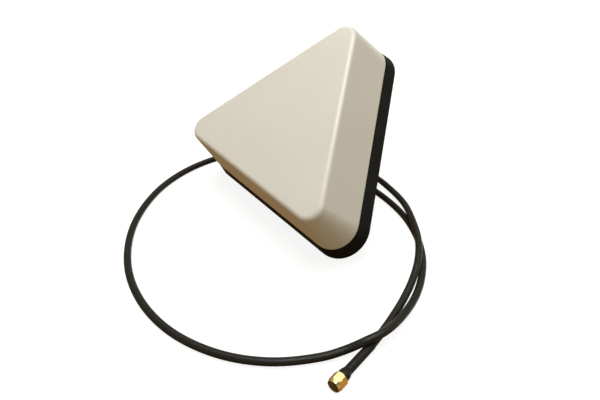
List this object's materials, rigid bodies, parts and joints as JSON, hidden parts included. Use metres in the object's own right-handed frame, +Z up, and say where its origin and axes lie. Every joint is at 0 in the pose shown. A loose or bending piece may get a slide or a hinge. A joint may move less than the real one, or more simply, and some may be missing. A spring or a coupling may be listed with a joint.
{
  "type": "yagi antenna",
  "caption": "Flat triangular directional antenna: cream radome on a black back tray, printed board inside, coaxial cord from a gland in the back, threaded coaxial plug.",
  "frame": {"origin": "on the table, under the middle of the housing's bounding box as it stands leaning back; the cord and plug are left out of that box", "axes": "+Z up from the table; +X along the housing's bottom edge, to the viewer's right when facing the cream front; +Y behind the housing, the way it leans"},
  "size_m": [0.235, 0.2337, 0.1299],
  "materials": {
    "cream_plastic": "satin moulded plastic",
    "black_plastic": "fine textured matt",
    "black_rubber": "matt",
    "steel": "plated",
    "brass": "turned",
    "board": "solder-masked glass laminate",
    "copper": "etched copper",
    "cord_jacket": "satin extruded jacket",
    "sleeve": "matt shrunk sleeve",
    "gold": "bright gold plate",
    "white_plastic": "smooth"
  },
  "bodies": {
    "antenna": {"back_tray": "black_plastic", "radome_cover": "cream_plastic", "perimeter_seal": "black_rubber", "cover_screw_1": "steel", "cover_screw_2": "steel", "cover_screw_3": "steel", "cover_screw_4": "steel", "cover_screw_5": "steel", "cover_screw_6": "steel", "mounting_insert_1": "brass", "mounting_insert_2": "brass", "mounting_insert_3": "brass", "mounting_insert_4": "brass", "antenna_board": "board", "reflector_strip": "copper", "driven_strip_left": "copper", "driven_strip_right": "copper", "director_strip_1": "copper", "director_strip_2": "copper", "director_strip_3": "copper", "director_strip_4": "copper", "board_screw_1": "steel", "board_screw_2": "steel", "board_screw_3": "steel", "board_screw_4": "steel", "feed_pin": "copper", "gland_body": "black_plastic", "gland_locknut": "black_plastic", "gland_seal_ring": "black_rubber", "gland_bush": "black_rubber", "gland_cap_nut": "black_plastic", "coax_tail": "cord_jacket", "coax_cord": "cord_jacket", "heat_shrink_sleeve": "sleeve", "crimp_ferrule": "gold", "connector_body": "gold", "nut_retaining_ring": "brass", "connector_insulator": "white_plastic", "centre_pin": "gold"},
    "coupling_nut": {"coupling_nut": "gold"}
  },
  "joints": [
    {"name": "coupling_nut_turn", "type": "hinge", "parent": "antenna", "child": "coupling_nut", "pos_m": [0.14174, -0.10659, 0.00419], "axis": [0.1546, -0.9873, 0.0366], "continuous": true}
  ]
}
